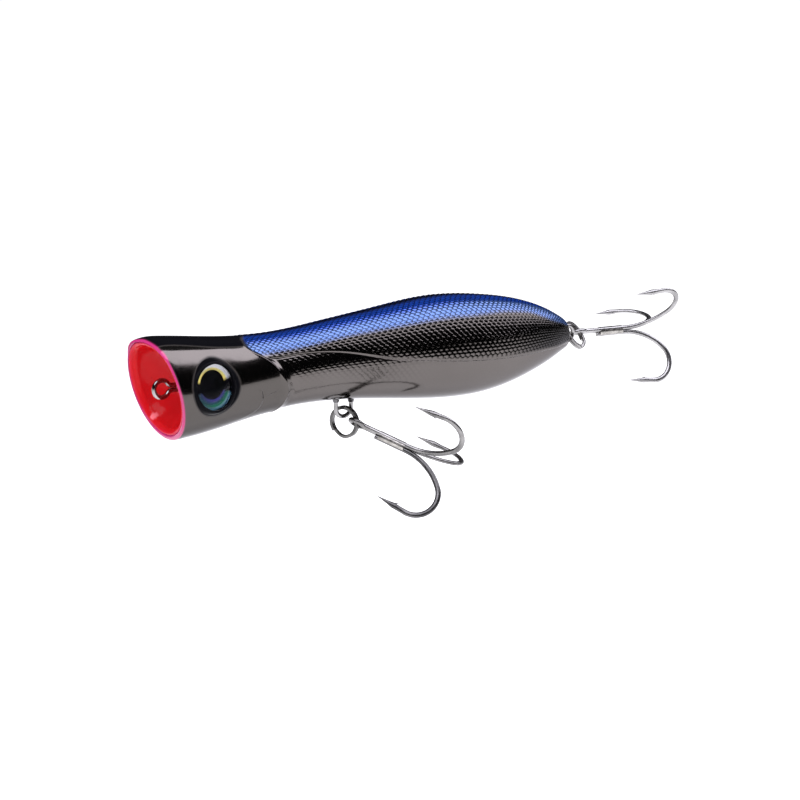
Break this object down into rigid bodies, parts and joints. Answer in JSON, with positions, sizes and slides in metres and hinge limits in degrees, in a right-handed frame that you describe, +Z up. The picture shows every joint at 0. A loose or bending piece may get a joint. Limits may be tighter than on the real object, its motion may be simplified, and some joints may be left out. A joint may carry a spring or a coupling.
{
  "type": "topwater fishing lure",
  "caption": "Topwater popper: hollow fish-shaped body with a cupped red mouth, domed eyes, rattles and a through-wire that carries treble hooks on split rings.",
  "frame": {"origin": "centre of the line tie's eye, on the body's axis in front of the mouth", "axes": "+X from the nose to the tail, +Z up through the back, +Y to the lure's right side"},
  "size_m": [0.1912, 0.0499, 0.058],
  "materials": {
    "body_plating": "mirror metallic coating, dark back, pearl flank",
    "cup_red": "gloss red",
    "wire_steel": "drawn stainless wire",
    "epoxy": "clear gloss epoxy",
    "epoxy_dark": "dark gloss epoxy",
    "ballast_metal": "as cast",
    "ball_steel": "polished",
    "iris_foil": "holographic foil with a black pupil",
    "lens_clear": "clear dome",
    "ring_steel": "nickel-plated",
    "hook_steel": "black nickel",
    "braze_metal": "braze under black nickel"
  },
  "bodies": {
    "lure_body": {"body_half_left": "body_plating", "body_half_right": "body_plating", "mouth_cup": "cup_red", "through_wire": "wire_steel", "nose_seal": "epoxy", "belly_leg_collars": "epoxy_dark", "tail_seal": "epoxy", "belly_ballast": "ballast_metal", "tail_ballast": "ballast_metal", "left_eye_iris": "iris_foil", "right_eye_iris": "iris_foil", "left_eye_lens": "lens_clear", "right_eye_lens": "lens_clear"},
    "rattle_front": {"rattle_ball_front": "ball_steel"},
    "rattle_middle": {"rattle_ball_middle": "ball_steel"},
    "rattle_rear": {"rattle_ball_rear": "ball_steel"},
    "belly_ring": {"belly_split_ring": "ring_steel"},
    "belly_treble": {"belly_treble_double_hook": "hook_steel", "belly_treble_single_hook": "hook_steel", "belly_treble_braze": "braze_metal"},
    "tail_ring": {"tail_split_ring": "ring_steel"},
    "tail_treble": {"tail_treble_double_hook": "hook_steel", "tail_treble_single_hook": "hook_steel", "tail_treble_braze": "braze_metal"}
  },
  "joints": [
    {"name": "belly_ring_swing", "type": "hinge", "parent": "lure_body", "child": "belly_ring", "pos_m": [0.05995, 0, -0.01535], "axis": [1, 0, 0], "range_deg": [-15, 45]},
    {"name": "belly_hook_swing", "type": "hinge", "parent": "belly_ring", "child": "belly_treble", "pos_m": [0.06159, -0.00434, -0.01683], "axis": [0.0065, -0.0162, -0.9998], "range_deg": [-45, 60]},
    {"name": "tail_ring_swing", "type": "hinge", "parent": "lure_body", "child": "tail_ring", "pos_m": [0.1452, 0, 0], "axis": [0, 1, 0], "range_deg": [-40, 30]},
    {"name": "tail_hook_swing", "type": "hinge", "parent": "tail_ring", "child": "tail_treble", "pos_m": [0.1529, 0.00302, -0.00083], "axis": [0.3492, -0.471, -0.8101], "range_deg": [-75, 75]},
    {"name": "rattle_front_slide", "type": "slide", "parent": "lure_body", "child": "rattle_front", "axis": [0, 1, 0], "range_m": [-0.00405, 0.00405]},
    {"name": "rattle_middle_slide", "type": "slide", "parent": "lure_body", "child": "rattle_middle", "axis": [0, 1, 0], "range_m": [-0.00605, 0.00605]},
    {"name": "rattle_rear_slide", "type": "slide", "parent": "lure_body", "child": "rattle_rear", "axis": [0, 1, 0], "range_m": [-0.00645, 0.00645]}
  ]
}
